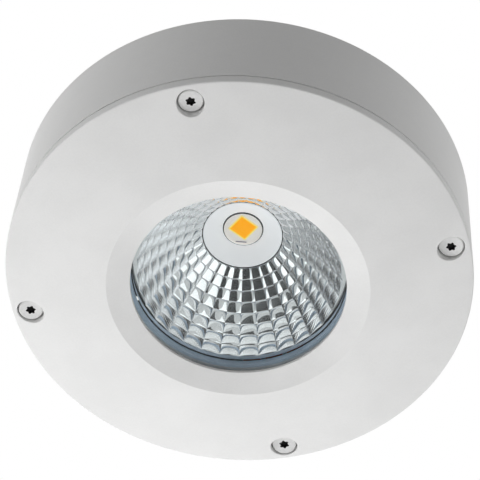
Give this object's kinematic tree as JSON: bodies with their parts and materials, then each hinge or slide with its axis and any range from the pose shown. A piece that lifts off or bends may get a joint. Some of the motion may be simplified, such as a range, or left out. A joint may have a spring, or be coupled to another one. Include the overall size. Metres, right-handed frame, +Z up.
{
  "type": "downlight",
  "caption": "Round surface-mounted outdoor ceiling downlight with a shallow domed cover, dished glass lens, faceted reflector and built-in driver.",
  "frame": {"origin": "centre of the flat face that lies against the ceiling", "axes": "+Z up into the ceiling along the lamp's round axis; light leaves along -Z; the cover screws lie on the X and Y axes, the terminals at +Y and the driver at -Y"},
  "size_m": [0.16, 0.16, 0.0486],
  "materials": {
    "cast_body": "satin pale grey powder coat",
    "dark_rubber": "matt",
    "cover_screw_steel": "satin stainless steel",
    "clear_glass": "clear polished",
    "clamp_ring_metal": "blue-grey satin",
    "screw_steel": "zinc plated",
    "reflector_mirror": "vacuum metallised, polished",
    "white_holder": "satin white",
    "led_board_metal": "satin",
    "phosphor": "smooth silicone gel",
    "thermal_pad": "matt",
    "driver_plastic": "fine texture",
    "circuit_green": "solder resist",
    "transformer_tape": "taped winding and dark core",
    "capacitor_sleeve": "shrink sleeve",
    "terminal_plastic": "translucent grey",
    "lever_plastic": "gloss",
    "contact_brass": "tin plated",
    "wire_brown": "satin",
    "wire_blue": "satin",
    "wire_green_yellow": "satin, striped",
    "wire_red": "satin",
    "wire_black": "satin"
  },
  "bodies": {
    "lamp": {"housing": "cast_body", "reflector": "reflector_mirror", "led_holder": "white_holder", "led_holder_screws": "screw_steel", "led_board": "led_board_metal", "led_phosphor": "phosphor", "thermal_pad": "thermal_pad", "driver_case": "driver_plastic", "driver_lid": "driver_plastic", "driver_circuit": "circuit_green", "driver_transformer": "transformer_tape", "driver_capacitors": "capacitor_sleeve", "driver_screws": "screw_steel", "terminal_block": "terminal_plastic", "terminal_contacts": "contact_brass", "terminal_screws": "screw_steel", "live_wire": "wire_brown", "neutral_wire": "wire_blue", "earth_wire": "wire_green_yellow", "led_wire_positive": "wire_red", "led_wire_negative": "wire_black", "earth_lug": "contact_brass", "earth_screw": "screw_steel", "cable_grommet": "dark_rubber", "blanking_plug": "dark_rubber", "slot_seals": "dark_rubber"},
    "cover": {"front_cover": "cast_body", "cover_seal": "dark_rubber", "lens": "clear_glass", "lens_seal": "dark_rubber", "lens_clamp_ring": "clamp_ring_metal", "clamp_ring_screws": "screw_steel"},
    "screw_1": {"cover_screw_1": "cover_screw_steel"},
    "screw_2": {"cover_screw_2": "cover_screw_steel"},
    "screw_3": {"cover_screw_3": "cover_screw_steel"},
    "screw_4": {"cover_screw_4": "cover_screw_steel"},
    "lever_live": {"terminal_lever_live": "lever_plastic"},
    "lever_neutral": {"terminal_lever_neutral": "lever_plastic"},
    "lever_earth": {"terminal_lever_earth": "lever_plastic"}
  },
  "joints": [
    {"name": "cover_off", "type": "slide", "parent": "lamp", "child": "cover", "axis": [0, 0, -1], "range_m": [0, 0.06]},
    {"name": "screw_1_turn", "type": "hinge", "parent": "cover", "child": "screw_1", "pos_m": [0.0735, 0, -0.04], "axis": [0, 0, -1], "continuous": true},
    {"name": "screw_2_turn", "type": "hinge", "parent": "cover", "child": "screw_2", "pos_m": [0, 0.0735, -0.04], "axis": [0, 0, -1], "continuous": true},
    {"name": "screw_3_turn", "type": "hinge", "parent": "cover", "child": "screw_3", "pos_m": [-0.0735, 0, -0.04], "axis": [0, 0, -1], "continuous": true},
    {"name": "screw_4_turn", "type": "hinge", "parent": "cover", "child": "screw_4", "pos_m": [0, -0.0735, -0.04], "axis": [0, 0, -1], "continuous": true},
    {"name": "lever_live_open", "type": "hinge", "parent": "lamp", "child": "lever_live", "pos_m": [0.008, 0.0415, -0.0155], "axis": [-1, 0, 0], "range_deg": [0, 90]},
    {"name": "lever_neutral_open", "type": "hinge", "parent": "lamp", "child": "lever_neutral", "pos_m": [0, 0.0415, -0.0155], "axis": [-1, 0, 0], "range_deg": [0, 90]},
    {"name": "lever_earth_open", "type": "hinge", "parent": "lamp", "child": "lever_earth", "pos_m": [-0.008, 0.0415, -0.0155], "axis": [-1, 0, 0], "range_deg": [0, 90]}
  ]
}
